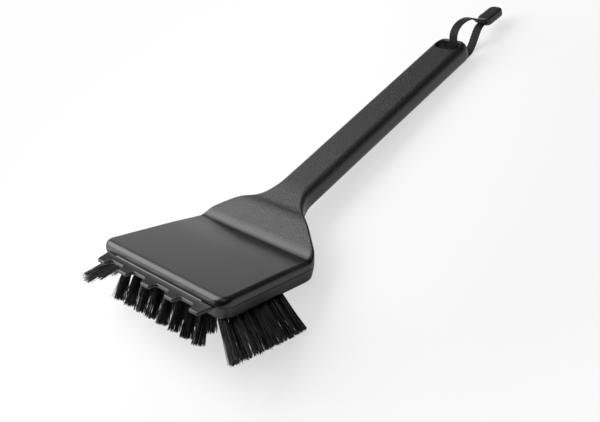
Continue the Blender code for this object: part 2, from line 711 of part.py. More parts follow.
def make_clip_half(name, side, parts, cutters, pivot):
    """One half of the clip that grips the strap's ends, rounded outside and hollow inside."""
    reach, width = CLIP_LENGTH / 2 - CLIP_CORNER_R, CLIP_WIDTH / 2 - CLIP_CORNER_R
    corners = ((reach, -width, -90), (reach, width, 0), (-reach, width, 90), (-reach, -width, 180))
    outline = []
    for x, y, start in corners:
        outline += arc((x, y), CLIP_CORNER_R, start, start + 90, 4)
    depth = (CLIP_THICK - GAP) / 2
    half = outline_slab(name, outline, depth / 2, parts, pivot)
    rounded_rim(half, CLIP_EDGE_R, 3, lambda co: co.z * side > 0)
    place = Matrix.Translation((*clip_point(0.0, 0.0), STRAP_X)) @ Matrix.Rotation(CLIP_PITCH, 4, 'Z')
    upright = Matrix.Rotation(math.radians(-90), 4, 'X')
    half.matrix_local = place @ upright @ Matrix.Translation((0.0, 0.0, side * (GAP + depth) / 2))
    half.data.shade_smooth()
    half.data.set_sharp_from_angle(angle=math.radians(40))
    boolean(half, clip_pocket(name, place, cutters, pivot), 'DIFFERENCE')
    return half


def clip_pocket(name, place, group, pivot):
    """Room for both ends of the strap, open towards the handle."""
    length = STRAP_TAIL + GAP + CLIP_LENGTH
    bm = bmesh.new()
    bmesh.ops.create_cube(bm, size=1.0)
    thick = 2 * STRAP_THICK + 3 * GAP
    bmesh.ops.scale(bm, verts=bm.verts, vec=(length, thick, STRAP_WIDTH + 2 * GAP))
    bmesh.ops.translate(bm, verts=bm.verts, vec=(STRAP_TAIL + GAP - length / 2, 0.0, 0.0))
    pocket = as_cutter(mesh_object(f"{name}_pocket", bm, group, pivot))
    pocket.matrix_local = place
    return pocket


# Resting pose

def head_points(things, rest):
    """Corners of the finished pieces, in the head's own frame."""
    bpy.context.view_layer.update()
    graph = bpy.context.evaluated_depsgraph_get()
    points = []
    for thing in things:
        shape = thing.evaluated_get(graph)
        place = rest.matrix_world.inverted() @ shape.matrix_world
        points += [place @ vertex.co for vertex in shape.data.vertices]
    return points


def lowest(points, tilt):
    return min(point.z * math.cos(tilt) - point.y * math.sin(tilt) for point in points)


def rest_tilt(front, back):
    """Slope of the floor, in the head's frame, under the bristles and the handle's end."""
    low, high = 0.0, math.radians(60)
    for _ in range(50):
        tilt = (low + high) / 2
        if lowest(front, tilt) + FOOT_CUT < lowest(back, tilt):
            low = tilt
        else:
            high = tilt
    return low


def trim_at_floor(tufts, group):
    """Cuts the bristle tips that the brush stands on level with the floor."""
    bm = bmesh.new()
    bmesh.ops.create_cube(bm, size=1.0)
    bmesh.ops.translate(bm, verts=bm.verts, vec=(0.0, 0.0, -0.5))
    floor = as_cutter(mesh_object("floor_trim", bm, group, None))
    for tuft in tufts:
        if tuft.name.endswith(f"_{SIDE_COUNT}") and not tuft.name.startswith(("front", "inner")):
            boolean(tuft, floor, 'DIFFERENCE')


def stand_up(rest, tufts, others, group):
    """Tips the brush back onto the floor and centres its outline on the origin."""
    bristles, rigid = head_points(tufts, rest), head_points(others, rest)
    tilt = rest_tilt(bristles, rigid)
    turn = Matrix.Rotation(-tilt, 4, 'X')
    placed = [turn @ point for point in bristles + rigid]
    middle_x = (min(p.x for p in placed) + max(p.x for p in placed)) / 2
    middle_y = (min(p.y for p in placed) + max(p.y for p in placed)) / 2
    floor = lowest(bristles, tilt) + FOOT_CUT
    rest.matrix_world = Matrix.Translation((-middle_x, -middle_y, -floor)) @ turn
    trim_at_floor(tufts, group)


def dress(things, material_name, colour, roughness, metallic=0.0):
    for thing in things:
        thing.data = thing.data.copy()
        thing.data.materials.clear()
        name = f"{thing.name}_{material_name}"
        thing.data.materials.append(plain_material(name, colour, roughness, metallic))


def build():
    fresh_scene()
    parts, cutters = new_collection("grill_brush"), new_collection("cutters")
    rest = add_object("rest_pose", None, parts, None)
    pivot = add_object("strap_pivot", None, parts, rest)
    axes = Matrix(((0, 0, 1), (math.cos(HANDLE_PITCH), -math.sin(HANDLE_PITCH), 0),
                   (math.sin(HANDLE_PITCH), math.cos(HANDLE_PITCH), 0)))
    spot = Vector((0.0, *along(HANDLE_LENGTH - END_WALL / 2, 0.0)))
    pivot.matrix_local = Matrix.Translation(spot) @ axes.to_4x4()

    frames = tuft_frames()
    shell = make_shell(parts, cutters, rest)
    block = make_block(frames, parts, cutters, rest)
    scraper = make_scraper(parts, rest)
    tufts = make_tufts(frames, parts, rest)
    screws = make_screws(parts, rest)
    strap = make_strap(parts, pivot)
    clip = [make_clip_half("clip_upper", 1, parts, cutters, pivot),
            make_clip_half("clip_lower", -1, parts, cutters, pivot)]

    dress([shell, block, scraper], "moulded_nylon", PLASTIC, 0.45)
    dress(clip, "moulded_nylon", PLASTIC, 0.5)
    dress(tufts, "bristle_nylon", NYLON, 0.4)
    dress([strap], "polyester_webbing", WEBBING, 0.8)
    dress(screws, "zinc_plated_steel", ZINC, 0.3, 1.0)
    stand_up(rest, tufts, [shell, block, scraper, strap] + clip + screws, cutters)


build()
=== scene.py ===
import json
import math
import random

import bmesh
import bpy
from mathutils import Matrix, Vector
from mathutils.kdtree import KDTree


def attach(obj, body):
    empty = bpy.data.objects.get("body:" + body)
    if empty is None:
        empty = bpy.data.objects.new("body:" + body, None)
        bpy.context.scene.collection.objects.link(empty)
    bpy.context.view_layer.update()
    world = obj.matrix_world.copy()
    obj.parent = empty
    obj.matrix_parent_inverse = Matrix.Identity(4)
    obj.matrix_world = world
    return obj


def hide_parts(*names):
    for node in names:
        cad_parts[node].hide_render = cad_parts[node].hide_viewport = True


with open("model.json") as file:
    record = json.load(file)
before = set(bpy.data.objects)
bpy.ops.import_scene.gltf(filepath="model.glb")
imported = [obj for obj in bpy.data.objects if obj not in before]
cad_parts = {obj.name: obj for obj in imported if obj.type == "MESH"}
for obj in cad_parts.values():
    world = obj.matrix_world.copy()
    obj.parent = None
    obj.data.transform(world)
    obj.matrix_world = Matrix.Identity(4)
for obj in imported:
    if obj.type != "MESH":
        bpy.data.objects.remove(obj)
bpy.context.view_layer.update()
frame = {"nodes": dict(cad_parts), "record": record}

# View and light. The brush stands on a white table. A large soft lamp at the front left draws the bright
# lines along its edges, with weaker ones at the rear left, low at the front left and overhead. The room is
# dark above a low bright band at the rear left.

# HEAD carries the head's own axes into place: x across, y back from its front wall, z up from its flat top.
head_top = next(mount for mount in frame["record"]["mounts"] if mount["name"] == "head_top")
top_way = Vector(head_top["axis"]).normalized()
HEAD_TURN = Matrix.Rotation(-math.atan2(top_way.y, top_way.z), 4, 'X')
HEAD_TOP_Y = 0.045
HEAD = Matrix.Translation(Vector(head_top["pos_m"]) - HEAD_TURN @ Vector((0.0, HEAD_TOP_Y, 0.0))) @ HEAD_TURN

CAMERA_PLACE = Vector((0.5654, -0.3922, 0.3132))
CAMERA_AIM = Vector((-0.0137, 0.16548, 0.0))
CAMERA_ROLL = math.radians(0.595)
CAMERA_LENS = 58.07
CAMERA_CLIP = 0.01
camera_turn = (CAMERA_AIM - CAMERA_PLACE).to_track_quat('-Z', 'Y').to_matrix().to_4x4()
camera = bpy.data.objects.new("camera", bpy.data.cameras.new("camera"))
bpy.context.scene.collection.objects.link(camera)
camera.data.lens = CAMERA_LENS
camera.data.sensor_width = 36
camera.data.clip_start = CAMERA_CLIP
camera.matrix_world = (HEAD @ Matrix.Translation(CAMERA_PLACE) @ camera_turn
                       @ Matrix.Rotation(CAMERA_ROLL, 4, 'Z'))
bpy.context.scene.camera = camera
bpy.context.scene.view_settings.view_transform = 'Standard'


def softbox(name, place, aim, width, watts):
    """Square lamp that faces a point."""
    lamp = bpy.data.objects.new(name, bpy.data.lights.new(name, 'AREA'))
    bpy.context.scene.collection.objects.link(lamp)
    lamp.data.size = width
    lamp.data.energy = watts
    lamp.matrix_world = Matrix.Translation(place) @ (
        Vector(place) - Vector(aim)).to_track_quat('Z', 'Y').to_matrix().to_4x4()


softbox("key_lamp", place=(-0.78, -0.32, 0.86), aim=(0.0, -0.15, 0.03), width=1.05, watts=17.0)
softbox("back_lamp", place=(-0.80, 0.42, 0.84), aim=(0.0, -0.05, 0.05), width=0.55, watts=2.2)
softbox("low_lamp", place=(-0.85, -0.98, 0.20), aim=(0.0, -0.15, 0.03), width=0.50, watts=2.2)
softbox("top_lamp", place=(0.20, 0.00, 1.30), aim=(0.0, 0.0, 0.0), width=1.20, watts=5.0)


def linear(code):
    """Scene colour of an sRGB hex code."""
    values = [int(code[i:i + 2], 16) / 255 for i in (1, 3, 5)]
    return (*[v / 12.92 if v <= 0.04045 else ((v + 0.055) / 1.055) ** 2.4 for v in values], 1.0)


def add_node(tree, kind, inputs=None, **settings):
    """Adds a node with its settings; inputs are values, or other nodes' outputs to link."""
    node = tree.nodes.new("ShaderNode" + kind)
    for key, value in settings.items():
        setattr(node, key, value)
    for key, value in (inputs or {}).items():
        if isinstance(value, bpy.types.NodeSocket):
            tree.links.new(value, node.inputs[key])
        else:
            node.inputs[key].default_value = value
    return node


BAND_WAY = (-0.75, 0.45, 0.0)
BAND_STRENGTH = 2.8
BAND_TOP = 0.14
ROOM_STRENGTH = 0.12
OTHER_SIDE_SHARE = 0.12
studio = bpy.data.worlds.new("studio")
bpy.context.scene.world = studio
studio.use_nodes = True
tree = studio.node_tree
tree.nodes.clear()
way = add_node(tree, "TexCoord").outputs["Generated"]
side = add_node(tree, "VectorMath", {0: way, 1: BAND_WAY}, operation='DOT_PRODUCT')
near = add_node(tree, "MapRange", {"Value": side.outputs["Value"], "From Min": 0.1, "From Max": 0.75,
                                   "To Min": OTHER_SIDE_SHARE, "To Max": 1.0},
                interpolation_type='SMOOTHSTEP')
height = add_node(tree, "SeparateXYZ", {0: way}).outputs["Z"]
fall = add_node(tree, "MapRange", {"Value": height, "From Min": -0.02, "From Max": BAND_TOP,
                                   "To Min": BAND_STRENGTH, "To Max": ROOM_STRENGTH},
                interpolation_type='SMOOTHSTEP')
level = add_node(tree, "Math", {0: near.outputs[0], 1: fall.outputs[0]}, operation='MULTIPLY')
paper = add_node(tree, "Background", {"Color": linear("#FFFFFF"), "Strength": level.outputs[0]})
white = add_node(tree, "Background", {"Color": linear("#FFFFFF"), "Strength": 1.0})
rays = add_node(tree, "LightPath")
pick = add_node(tree, "MixShader", {0: rays.outputs["Is Camera Ray"], 1: paper.outputs[0],
                                    2: white.outputs[0]})
add_node(tree, "OutputWorld", {"Surface": pick.outputs[0]})


# Head and handle. One hollow moulding of black glass-filled nylon: a flat-topped head, a shoulder that
# narrows to a straight handle, and an oblong slot near its end. It is drawn out from ring to ring, front
# to back, and its grain is finer on the head than on the handle.

GAP = 0.0003
FRONT_HALF = 0.0798
SIDE_TAPER = 0.091
FRONT_CORNER_R = 0.010
REAR_CORNER_R = 0.018
FLARE_ANGLE = math.radians(58)
NECK_R = 0.026
NECK_END_Y = 0.1500
EDGE_R = 0.0053
SPLIT_Z = -0.0074
DIP_START_Y = 0.0600
DIP_FULL_Y = 0.0820
RISE_START_Y = 0.0950
RISE_FULL_Y = 0.1022
FACE_Y = 0.1155
SADDLE_Y = 0.1235
CLIMB_START_Y = 0.1285
CLIMB_END_Y = 0.1350
DIP_ANGLE = math.radians(-2.5)
RISE_ANGLE = math.radians(45.5)
FACE_ANGLE = math.radians(43)
SADDLE_ANGLE = math.radians(12)
NARROWING_Y = 0.120
BLOCK_REAR_Y = 0.112
UNDERSIDE_BLEND = 0.012
HANDLE_Y = 0.1403
HANDLE_Z = 0.0211
HANDLE_PITCH = math.radians(25.1)
HANDLE_HALF = 0.0184
HANDLE_THICK = 0.0184
HANDLE_LENGTH = 0.2437
HANDLE_EDGE_R = 0.0066
HANDLE_END_R = 0.0125
HANDLE_STRAIGHT_S = 0.05
SLOT_ACROSS = 0.0258
SLOT_ALONG = 0.0126
SLOT_TO_END = 0.0128
SLOT_RIM_R = 0.0018
CORNER_SHARE = 0.8
LEAST_SIDE = 0.0001
LOW_CORNER_STEPS = 5
TOP_CORNER_STEPS = 14
BEND_RINGS = 14
SHOULDER_RINGS = 80
CLOSEST_RINGS = 0.00008
HANDLE_RINGS = 12
HANDLE_END_RINGS = 18
SLOT_RIM_STEPS = 9
FACE_AREA_WEIGHT = 80

FLARE_SLOPE = math.tan(FLARE_ANGLE)
SIDE_ROOT = math.hypot(1.0, SIDE_TAPER)
FLARE_ROOT = math.hypot(1.0, FLARE_SLOPE)
FLARE_X = HANDLE_HALF + NECK_R * (1.0 - math.cos(FLARE_ANGLE))
FLARE_Y = NECK_END_Y - NECK_R * math.sin(FLARE_ANGLE)
FRONT_CORNER_X = FRONT_HALF - FRONT_CORNER_R * (SIDE_ROOT + SIDE_TAPER)
FRONT_CORNER_END = FRONT_CORNER_R * (1.0 + SIDE_TAPER / SIDE_ROOT)
REAR_CORNER_Y = ((FLARE_X + FLARE_SLOPE * FLARE_Y - FRONT_HALF
                  - REAR_CORNER_R * (FLARE_ROOT - SIDE_ROOT)) / (FLARE_SLOPE - SIDE_TAPER))
REAR_CORNER_X = FRONT_HALF - REAR_CORNER_R * SIDE_ROOT - SIDE_TAPER * REAR_CORNER_Y
REAR_CORNER_START = REAR_CORNER_Y + REAR_CORNER_R * SIDE_TAPER / SIDE_ROOT
REAR_CORNER_END = REAR_CORNER_Y + REAR_CORNER_R * FLARE_SLOPE / FLARE_ROOT


def arc(centre, radius, start, end, steps):
    """Points of an arc between two angles in degrees."""
    for step in range(steps + 1):
        angle = math.radians(start + (end - start) * step / steps)
        yield (centre[0] + radius * math.cos(angle), centre[1] + radius * math.sin(angle))


def smooth_step(value):
    """Share from 0 to 1 that starts and ends level."""
    value = min(1.0, max(0.0, value))
    return value * value * (3.0 - 2.0 * value)


def half_width(y):
    """Half the width of the head, shoulder or neck at a depth from the front wall."""
    if y < FRONT_CORNER_END:
        return FRONT_CORNER_X + math.sqrt(max(0.0, FRONT_CORNER_R ** 2 - (y - FRONT_CORNER_R) ** 2))
    if y < REAR_CORNER_START:
        return FRONT_HALF - SIDE_TAPER * y
    if y < REAR_CORNER_END:
        return REAR_CORNER_X + math.sqrt(REAR_CORNER_R ** 2 - (y - REAR_CORNER_Y) ** 2)
    if y < FLARE_Y:
        return FLARE_X + FLARE_SLOPE * (FLARE_Y - y)
    if y < NECK_END_Y:
        return HANDLE_HALF + NECK_R - math.sqrt(NECK_R ** 2 - (NECK_END_Y - y) ** 2)
    return HANDLE_HALF


def handle_plane(y, above):
    """Height at y of a plane that lies a distance above the handle's middle plane."""
    return HANDLE_Z + (y - HANDLE_Y) * math.tan(HANDLE_PITCH) + above / math.cos(HANDLE_PITCH)


def profile_z(y, slopes):
    """Height at y of a profile whose slope runs evenly from each (depth, slope) pair to the next."""
    z = 0.0
    for (start, slope), (end, end_slope) in zip(slopes, slopes[1:]):
        run = min(max(y - start, 0.0), end - start)
        z += run * (slope + (end_slope - slope) * run / (end - start) / 2)
    return z


def shoulder_slopes():
    """Slopes of the top: a slight dip, the rise, a saddle and a climb steep enough to meet the handle."""
    ends = [(DIP_START_Y, 0.0), (DIP_FULL_Y, math.tan(DIP_ANGLE)), (RISE_START_Y, 0.0),
            (RISE_FULL_Y, math.tan(RISE_ANGLE)), (FACE_Y, math.tan(FACE_ANGLE)),
            (SADDLE_Y, math.tan(SADDLE_ANGLE)), (CLIMB_START_Y, 0.0), (CLIMB_END_Y, 0.0),
            (NECK_END_Y, math.tan(HANDLE_PITCH))]
    short = handle_plane(NECK_END_Y, HANDLE_THICK / 2) - profile_z(NECK_END_Y, ends)
    climb = short / ((CLIMB_END_Y - CLIMB_START_Y + NECK_END_Y - SADDLE_Y) / 2)
    ends[-3:-1] = [(CLIMB_START_Y, climb), (CLIMB_END_Y, climb)]
    return ends


SHOULDER = shoulder_slopes()


def top_z(y):
    """Height of the top: its round front edge, then the profile of the plateau and the shoulder."""
    if y < EDGE_R:
        return math.sqrt(max(0.0, EDGE_R ** 2 - (EDGE_R - y) ** 2)) - EDGE_R
    return profile_z(y, SHOULDER)


def low_z(y):
    """Underside: level over the block, then up to the handle's underside."""
    rise = max(0.0, handle_plane(y, -HANDLE_THICK / 2) - SPLIT_Z)
    return SPLIT_Z + rise * smooth_step((y - BLOCK_REAR_Y) / UNDERSIDE_BLEND)


def along(s, n):
    """Y and Z of a point on the handle, s along its centre line and n above it."""
    cos, sin = math.cos(HANDLE_PITCH), math.sin(HANDLE_PITCH)
    return HANDLE_Y + s * cos - n * sin, HANDLE_Z + s * sin + n * cos


def section(place, half, low, high, top_r, low_r):
    """Closed ring round a box with rounded corners, smaller ones where the box is too thin for them.

    Place puts (x, height) in space.
    """
    wide = min(top_r, half * CORNER_SHARE)
    deep = min(top_r, (high - low) * CORNER_SHARE)
    low_r = min(low_r, (high - low) - deep - LEAST_SIDE)
    right = []
    for x, z in arc((0, 0), 1.0, -90, 0, LOW_CORNER_STEPS):
        right.append((half - low_r + x * low_r, low + low_r + z * low_r))
    for x, z in arc((0, 0), 1.0, 0, 90, TOP_CORNER_STEPS):
        right.append((half - wide * (1.0 - x), high - deep * (1.0 - z)))
    right += [((half - wide) * share, high) for share in (0.8, 0.6, 0.4, 0.2)]
    left = [(-x, v) for x, v in reversed(right)]
    return [HEAD @ Vector(place(x, v)) for x, v in right + [(0.0, high)] + left + [(0.0, low)]]


def head_ring(y):
    """Ring across the head, shoulder or neck; its corners grow into the handle's along the neck."""
    fade = smooth_step((y - NARROWING_Y) / (NECK_END_Y - NARROWING_Y))
    top_r = EDGE_R + (HANDLE_EDGE_R - EDGE_R) * fade
    low_r = max(GAP, HANDLE_EDGE_R * fade)
    return section(lambda x, v: (x, y, v), half_width(y), low_z(y), top_z(y), top_r, low_r)


def handle_ring(s):
    """Ring across the handle, which gets narrower and thinner at its round end."""
    to_end = HANDLE_LENGTH - s
    half, rise = HANDLE_HALF, HANDLE_THICK / 2
    if to_end < HANDLE_END_R:
        half -= HANDLE_END_R - math.sqrt(HANDLE_END_R ** 2 - (HANDLE_END_R - to_end) ** 2)
    if to_end < HANDLE_EDGE_R:
        rise -= HANDLE_EDGE_R - math.sqrt(HANDLE_EDGE_R ** 2 - (HANDLE_EDGE_R - to_end) ** 2)
    return section(lambda x, v: (x, *along(s, v)), half, -rise, rise, HANDLE_EDGE_R, HANDLE_EDGE_R)


def head_depths():
    """Depths of the rings on the head, close together where its outline or its top bends."""
    steps = [i / BEND_RINGS for i in range(BEND_RINGS + 1)]
    depths = [EDGE_R * (1.0 - math.cos(math.pi / 2 * t)) for t in steps]
    depths += [FRONT_CORNER_END * (1.0 - math.cos(math.pi / 2 * t)) for t in steps]
    depths += [EDGE_R + (DIP_START_Y - EDGE_R) * t for t in steps]
    for i in range(SHOULDER_RINGS + 1):
        depths.append(DIP_START_Y + (NECK_END_Y - DIP_START_Y) * i / SHOULDER_RINGS)
    apart = []
    for depth in sorted(depths):
        if not apart or depth - apart[-1] > CLOSEST_RINGS:
            apart.append(depth)
    return apart


def only(piece):
    """Leaves this piece alone selected and active."""
    bpy.ops.object.select_all(action='DESELECT')
    piece.select_set(True)
    bpy.context.view_layer.objects.active = piece


def drawn_out(name, rings):
    """Solid that is extruded from its first ring through all the others."""
    bpy.ops.object.select_all(action='DESELECT')
    bpy.ops.mesh.primitive_circle_add(vertices=len(rings[0]), radius=0.01, fill_type='NGON')
    piece = bpy.context.object
    piece.name = piece.data.name = name
    for vertex, spot in zip(piece.data.vertices, rings[0]):
        vertex.co = spot
    bpy.ops.object.mode_set(mode='EDIT')
    bpy.ops.mesh.select_all(action='SELECT')
    for ring, following in zip(rings, rings[1:]):
        bpy.ops.mesh.extrude_region_move()
        finder = KDTree(len(ring))
        for i, spot in enumerate(ring):
            finder.insert(spot, i)
        finder.balance()
        shape = bmesh.from_edit_mesh(piece.data)
        for vertex in shape.verts:
            if vertex.select:
                vertex.co = following[finder.find(vertex.co)[1]]
        bmesh.update_edit_mesh(piece.data)
    bpy.ops.mesh.select_all(action='SELECT')
    bpy.ops.mesh.normals_make_consistent(inside=False)
    bpy.ops.object.mode_set(mode='OBJECT')
    return piece


def use(piece, kind, **settings):
    """Adds a modifier to a piece and applies it."""
    only(piece)
    step = piece.modifiers.new(kind.lower(), kind)
    for key, value in settings.items():
        setattr(step, key, value)
    bpy.ops.object.modifier_apply(modifier=step.name)


def cut(piece, tool):
    """Cuts the tool's shape out of a piece."""
    use(piece, 'BOOLEAN', operation='DIFFERENCE', solver='EXACT', object=tool)
    bpy.data.objects.remove(tool, do_unlink=True)


def smoothed(piece, angle=35):
    """Smooth shading that keeps the sharp edges, with flat faces left flat."""
    only(piece)
    bpy.ops.object.shade_smooth_by_angle(angle=math.radians(angle))
    use(piece, 'WEIGHTED_NORMAL', keep_sharp=True, weight=FACE_AREA_WEIGHT)


def oblong(across, wide, steps=20):
    """Outline with two straight sides and round ends."""
    reach = (across - wide) / 2
    yield from arc((reach, 0.0), wide / 2, -90, 90, steps)
    yield from arc((-reach, 0.0), wide / 2, 90, 270, steps)


stations = []
for i in range(HANDLE_RINGS):
    stations.append(HANDLE_STRAIGHT_S
                    + (HANDLE_LENGTH - HANDLE_END_R - HANDLE_STRAIGHT_S) * i / HANDLE_RINGS)
for i in range(HANDLE_END_RINGS + 1):
    turn = math.pi / 2 * i / HANDLE_END_RINGS
    stations.append(HANDLE_LENGTH - HANDLE_END_R * (1.0 - math.sin(turn)))
shell = drawn_out("body_shell", [head_ring(y) for y in head_depths()] + [handle_ring(s) for s in stations])

# The slot's tool widens at both mouths, so that the slot's rims come out round.
levels = [(HANDLE_THICK / 2 + SLOT_RIM_R, SLOT_RIM_R + GAP)]
for sine, cosine in arc((0.0, 0.0), 1.0, 0, 90, SLOT_RIM_STEPS):
    levels.append((HANDLE_THICK / 2 - SLOT_RIM_R * (1.0 - sine), SLOT_RIM_R * (1.0 - cosine)))
slot_rings = []
for n, grow in levels + [(-n, grow) for n, grow in reversed(levels)]:
    outline = oblong(SLOT_ACROSS + 2 * grow, SLOT_ALONG + 2 * grow)
    slot_rings.append([HEAD @ Vector((x, *along(HANDLE_LENGTH - SLOT_TO_END + s, n))) for x, s in outline])
cut(shell, drawn_out("slot_tool", slot_rings))
smoothed(shell)


NYLON_IOR = 1.52
GRAIN_START_Y = 0.099
GRAIN_END_Y = 0.105
HEAD_GRAIN = 0.05
HANDLE_GRAIN = 1.0
SMALL_PIECE_GRAIN = 0.20
CLOUDS_PER_METRE = 38.0
SPECKS_PER_METRE = 1100.0
PITS_PER_METRE = 950.0
SMUDGE = 0.015


def moulded_nylon(name, tint, gloss, grain, fine=False):
    """Glass-filled nylon, moulded: near black and half matt, with a spark-eroded grain.

    The eye sees a soft sheen that breaks up into specks. Gloss is the roughness of the finer head and of
    the handle, and grain the depth in metres. A fine piece has the same light grain all over. The pits are
    drawn about a millimetre apart, coarser than they are, so that they show.
    """
    material = bpy.data.materials.new(name)
    material.use_nodes = True
    tree = material.node_tree
    shader = tree.nodes["Principled BSDF"]
    shader.inputs["IOR"].default_value = NYLON_IOR
    place = add_node(tree, "TexCoord").outputs["Object"]
    in_head = add_node(tree, "Mapping", {"Vector": place, "Location": HEAD.to_translation(),
                                         "Rotation": HEAD.to_euler()}, vector_type='TEXTURE')
    depth = add_node(tree, "SeparateXYZ", {0: in_head.outputs[0]}).outputs["Y"]
    front, rear = (SMALL_PIECE_GRAIN, SMALL_PIECE_GRAIN) if fine else (HEAD_GRAIN, HANDLE_GRAIN)
    rough_part = add_node(tree, "MapRange", {"Value": depth, "To Min": front, "To Max": rear,
                                             "From Min": GRAIN_START_Y, "From Max": GRAIN_END_Y})
    cloud = add_node(tree, "TexNoise", {"Vector": place, "Scale": CLOUDS_PER_METRE, "Detail": 4.0,
                                        "Roughness": 0.6})
    specks = add_node(tree, "TexNoise", {"Vector": place, "Scale": SPECKS_PER_METRE, "Detail": 1.5})
    ramp = add_node(tree, "ValToRGB", {"Fac": cloud.outputs["Fac"]})
    ramp.color_ramp.elements[0].position = 0.35
    ramp.color_ramp.elements[1].position = 0.7
    ramp.color_ramp.elements[0].color = linear(tint[0])
    ramp.color_ramp.elements[1].color = linear(tint[1])
    tree.links.new(ramp.outputs["Color"], shader.inputs["Base Color"])
    matt = add_node(tree, "MapRange", {"Value": rough_part.outputs[0], "To Min": gloss[0], "To Max": gloss[1],
                                       "From Min": HEAD_GRAIN, "From Max": HANDLE_GRAIN})
    smudge = add_node(tree, "MapRange", {"Value": cloud.outputs["Fac"], "From Min": 0.3, "From Max": 0.7,
                                         "To Min": -SMUDGE, "To Max": SMUDGE})
    total = add_node(tree, "Math", {0: matt.outputs[0], 1: smudge.outputs[0]}, operation='ADD')
    tree.links.new(total.outputs[0], shader.inputs["Roughness"])
    pits = add_node(tree, "TexVoronoi", {"Vector": place, "Scale": PITS_PER_METRE}, feature='SMOOTH_F1')
    height = add_node(tree, "Math", {0: pits.outputs["Distance"], 1: specks.outputs["Fac"]}, operation='ADD')
    bump = add_node(tree, "Bump", {"Height": height.outputs[0], "Strength": rough_part.outputs[0],
                                   "Distance": grain})
    tree.links.new(bump.outputs["Normal"], shader.inputs["Normal"])
    return material


body_nylon = moulded_nylon("moulded_nylon_body", tint=("#0D0E0F", "#131415"), gloss=(0.30, 0.46),
                           grain=0.00030)
shell.data.materials.clear()
shell.data.materials.append(body_nylon)
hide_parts("head_and_handle")
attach(shell, "brush")


# Brush block. A thick plate of the same nylon under the head, drilled for the tufts, with its seat for
# the scraper at the front. Six screws hold it from below. Its sharp edges are slightly broken.

WELD_DISTANCE = 0.000005
BLOCK_BEVEL = 0.0003


def softened(node, name, width, angle=35):
    """Copy of a node, welded, with its sharp edges broken."""
    piece = bpy.data.objects.new(name, frame["nodes"][node].data.copy())
    piece.data.name = name
    bpy.context.scene.collection.objects.link(piece)
    only(piece)
    bpy.ops.object.mode_set(mode='EDIT')
    bpy.ops.mesh.select_all(action='SELECT')
    bpy.ops.mesh.remove_doubles(threshold=WELD_DISTANCE)
    bpy.ops.mesh.tris_convert_to_quads()
    bpy.ops.mesh.normals_make_consistent(inside=False)
    bpy.ops.object.mode_set(mode='OBJECT')
    use(piece, 'BEVEL', width=width, segments=2, limit_method='ANGLE', angle_limit=math.radians(angle))
    smoothed(piece, angle)
    piece.data.materials.clear()
    return piece


block = softened("brush_block", "tufted_block", BLOCK_BEVEL)
block_nylon = moulded_nylon("moulded_nylon_block", tint=("#0E0F10", "#151617"), gloss=(0.36, 0.36),
                            grain=0.00008, fine=True)
block.data.materials.append(block_nylon)
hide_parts("brush_block")
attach(block, "brush")


# Scraper. A stiff moulded plate in front of the head, drooping slightly, with four arched notches that
# fit over the bars of a grate, and a low bead along the head. Its tongue is held between head and block.

SCRAPER_REACH = 0.0128
SCRAPER_HALF = 0.0680
SCRAPER_TIP_HALF = 0.0655
SCRAPER_THICK = 0.003
SCRAPER_DROOP = math.radians(8)
SCRAPER_RIM = 0.0008
BEAD_HEIGHT = 0.00055
BEAD_WIDTH = 0.0009
BEAD_CREST = 0.2
TONGUE_HALF = 0.056
TONGUE_DEPTH = 0.009
NOTCH_COUNT = 4
NOTCH_PITCH = 0.0302
NOTCH_MOUTH = 0.0212
NOTCH_DEPTH = 0.0062
NOTCH_TOP = 0.012
LOBE_CORNER = 0.0012
LOBE_BEND_ACROSS = 0.55
LOBE_BEND_DEEP = 0.25
FLANK_SHARE = 0.62
FLANK_LEAN = 1.6
ARCH_STEPS = 8
TOP_FACE_DEPTH = 0.00001


def notch_points():
    """One notch from its right lobe to its left one: short flanks under a flat arch."""
    mouth, top = NOTCH_MOUTH / 2, NOTCH_TOP / 2
    half = [(mouth, -SCRAPER_REACH),
            (mouth - LOBE_BEND_ACROSS * LOBE_CORNER, LOBE_BEND_DEEP * LOBE_CORNER - SCRAPER_REACH),
            (mouth - LOBE_CORNER, LOBE_CORNER - SCRAPER_REACH)]
    foot = mouth - FLANK_LEAN * LOBE_CORNER
    flank = NOTCH_DEPTH * FLANK_SHARE
    half.append((foot, flank - SCRAPER_REACH))
    for step in range(1, ARCH_STEPS + 1):
        angle = step / ARCH_STEPS * math.pi / 2
        half.append((top + (foot - top) * math.cos(angle),
                     flank + (NOTCH_DEPTH - flank) * math.sin(angle) - SCRAPER_REACH))
    return half + [(-x, y) for x, y in reversed(half)]


def scraper_outline():
    """The scraper from above: tongue, sides and a front edge of lobes and notches."""
    right = [(TONGUE_HALF, TONGUE_DEPTH), (TONGUE_HALF, -GAP), (SCRAPER_HALF, -GAP),
             (SCRAPER_TIP_HALF + LOBE_CORNER / 3, LOBE_CORNER - SCRAPER_REACH),
             (SCRAPER_TIP_HALF - LOBE_CORNER, -SCRAPER_REACH)]
    left = [(-x, y) for x, y in reversed(right)]
    middle = []
    for i in range(NOTCH_COUNT):
        centre = NOTCH_PITCH * ((NOTCH_COUNT - 1) / 2 - i)
        middle += [(centre + x, y) for x, y in notch_points()]
    return right + middle + left


plate_levels = (SPLIT_Z - GAP - SCRAPER_THICK, SPLIT_Z - GAP)
plate_rings = [[Vector((x, y, z)) for x, y in scraper_outline()] for z in plate_levels]
scraper = drawn_out("scraper_plate", plate_rings)
use(scraper, 'BEVEL', width=SCRAPER_RIM, segments=3, limit_method='ANGLE', angle_limit=math.radians(60))
only(scraper)
bpy.ops.object.mode_set(mode='EDIT')
for y in (-GAP, -GAP - BEAD_CREST * BEAD_WIDTH, -GAP - BEAD_WIDTH):
    bpy.ops.mesh.select_all(action='SELECT')
    bpy.ops.mesh.bisect(plane_co=(0.0, y, 0.0), plane_no=(0.0, 1.0, 0.0))
bpy.ops.object.mode_set(mode='OBJECT')
